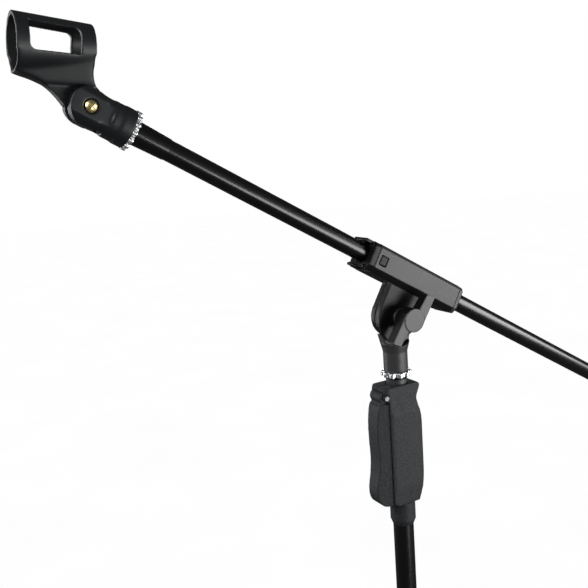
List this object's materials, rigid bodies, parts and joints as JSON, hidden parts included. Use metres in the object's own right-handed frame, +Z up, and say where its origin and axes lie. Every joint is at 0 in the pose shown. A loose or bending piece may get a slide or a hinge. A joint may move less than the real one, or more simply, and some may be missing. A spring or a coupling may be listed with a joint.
{
  "type": "microphone boom stand",
  "caption": "Microphone stand with a folding tripod, a one-hand trigger height clutch, a tilting and sliding boom arm in a knob clamp, and a tapered microphone clip.",
  "frame": {"origin": "on the shaft's axis, on the floor", "axes": "+Z up along the shaft; the boom lies in the XZ plane, its clip end towards -X and its tail towards +X; the wing knob is on the -Y side"},
  "size_m": [0.6841, 0.5968, 1.2189],
  "materials": {
    "tube_black": "semi-gloss powder coat",
    "clamp_plastic": "satin moulded nylon",
    "knob_plastic": "satin moulded nylon",
    "grip_plastic": "fine spark-textured moulded plastic",
    "clip_plastic": "satin flexible plastic",
    "chrome": "bright zinc plate",
    "steel": "zinc-plated steel",
    "brass_plate": "yellow-passivated steel",
    "cast_hub": "black powder-coated die casting",
    "rubber": "matt rubber",
    "friction_fibre": "fibre washer"
  },
  "bodies": {
    "stand": {"lower_tube": "tube_black", "tube_plug": "rubber", "tripod_hub": "cast_hub", "hub_screw": "steel", "leg_pins": "steel", "clutch_core": "grip_plastic", "grip_shell_left": "grip_plastic", "grip_shell_right": "grip_plastic", "grip_screws": "steel", "neck_bush": "clamp_plastic", "lever_pin": "steel", "lever_spring": "steel", "brake_spring": "steel"},
    "trigger": {"trigger_lever": "grip_plastic"},
    "brake": {"brake_plates": "steel"},
    "upper_shaft": {"upper_tube": "tube_black", "upper_stud": "steel", "shaft_guide": "rubber"},
    "shaft_lock_ring": {"lock_ring": "chrome"},
    "swivel": {"swivel_socket": "clamp_plastic"},
    "clamp": {"clamp_housing": "clamp_plastic", "clamp_front_cap": "clamp_plastic", "clamp_rear_cap": "clamp_plastic", "boom_shoe": "rubber", "pivot_bolt": "steel", "friction_washers": "friction_fibre", "knob_washer": "steel"},
    "knob": {"wing_knob": "knob_plastic", "knob_insert": "brass_plate"},
    "boom": {"boom_tube": "tube_black", "boom_ferrule": "tube_black", "boom_tail_cap": "rubber"},
    "clip_fork": {"clip_base": "clip_plastic", "clip_thread_ring": "chrome", "clip_screw": "brass_plate", "clip_nut": "steel"},
    "clip_holder": {"clip_barrel": "clip_plastic"},
    "leg_a": {"leg_knuckle_1": "cast_hub", "leg_tube_1": "tube_black", "foot_1": "rubber"},
    "leg_b": {"leg_knuckle_2": "cast_hub", "leg_tube_2": "tube_black", "foot_2": "rubber"},
    "leg_c": {"leg_knuckle_3": "cast_hub", "leg_tube_3": "tube_black", "foot_3": "rubber"}
  },
  "joints": [
    {"name": "height_slide", "type": "slide", "parent": "stand", "child": "upper_shaft", "axis": [0, 0, 1], "range_m": [0, 0.5]},
    {"name": "swivel_turn", "type": "hinge", "parent": "upper_shaft", "child": "swivel", "pos_m": [0, 0, 0.92], "axis": [0, 0, 1], "range_deg": [-180, 180]},
    {"name": "lock_ring_turn", "type": "hinge", "parent": "upper_shaft", "child": "shaft_lock_ring", "pos_m": [0, 0, 0.9115], "axis": [0, 0, 1], "continuous": true},
    {"name": "boom_tilt", "type": "hinge", "parent": "swivel", "child": "clamp", "pos_m": [0, 0, 0.9645], "axis": [0, 1, 0], "range_deg": [-95, 45]},
    {"name": "knob_turn", "type": "hinge", "parent": "clamp", "child": "knob", "pos_m": [0, -0.025, 0.9645], "axis": [0, -1, 0], "range_deg": [0, 360]},
    {"name": "boom_slide", "type": "slide", "parent": "clamp", "child": "boom", "axis": [0.8634, 0, -0.5045], "range_m": [-0.28, 0.17]},
    {"name": "clip_twist", "type": "hinge", "parent": "boom", "child": "clip_fork", "pos_m": [-0.25246, 0, 1.15523], "axis": [0.8634, 0, -0.5045], "range_deg": [-180, 180]},
    {"name": "clip_tilt", "type": "hinge", "parent": "clip_fork", "child": "clip_holder", "pos_m": [-0.25246, 0, 1.15523], "axis": [0, 1, 0], "range_deg": [-90, 30]},
    {"name": "trigger_squeeze", "type": "hinge", "parent": "stand", "child": "trigger", "pos_m": [-0.0195, 0, 0.8935], "axis": [0, -1, 0], "range_deg": [0, 4], "stiffness_Nm_per_rad": 3, "springref_deg": -8.59},
    {"name": "brake_tilt", "type": "hinge", "parent": "stand", "child": "brake", "pos_m": [0.0116, 0, 0.876], "axis": [0, 1, 0], "range_deg": [0, 2]},
    {"name": "leg_a_fold", "type": "hinge", "parent": "stand", "child": "leg_a", "pos_m": [-0.033, 0, 0.082], "axis": [0, -1, 0], "range_deg": [0, 68]},
    {"name": "leg_b_fold", "type": "hinge", "parent": "stand", "child": "leg_b", "pos_m": [0.0165, 0.02858, 0.082], "axis": [-0.866, 0.5, 0], "range_deg": [0, 68]},
    {"name": "leg_c_fold", "type": "hinge", "parent": "stand", "child": "leg_c", "pos_m": [0.0165, -0.02858, 0.082], "axis": [0.866, 0.5, 0], "range_deg": [0, 68]}
  ],
  "couplings": [
    {"joint": "brake_tilt", "follows": "trigger_squeeze", "ratio": 0.36}
  ]
}
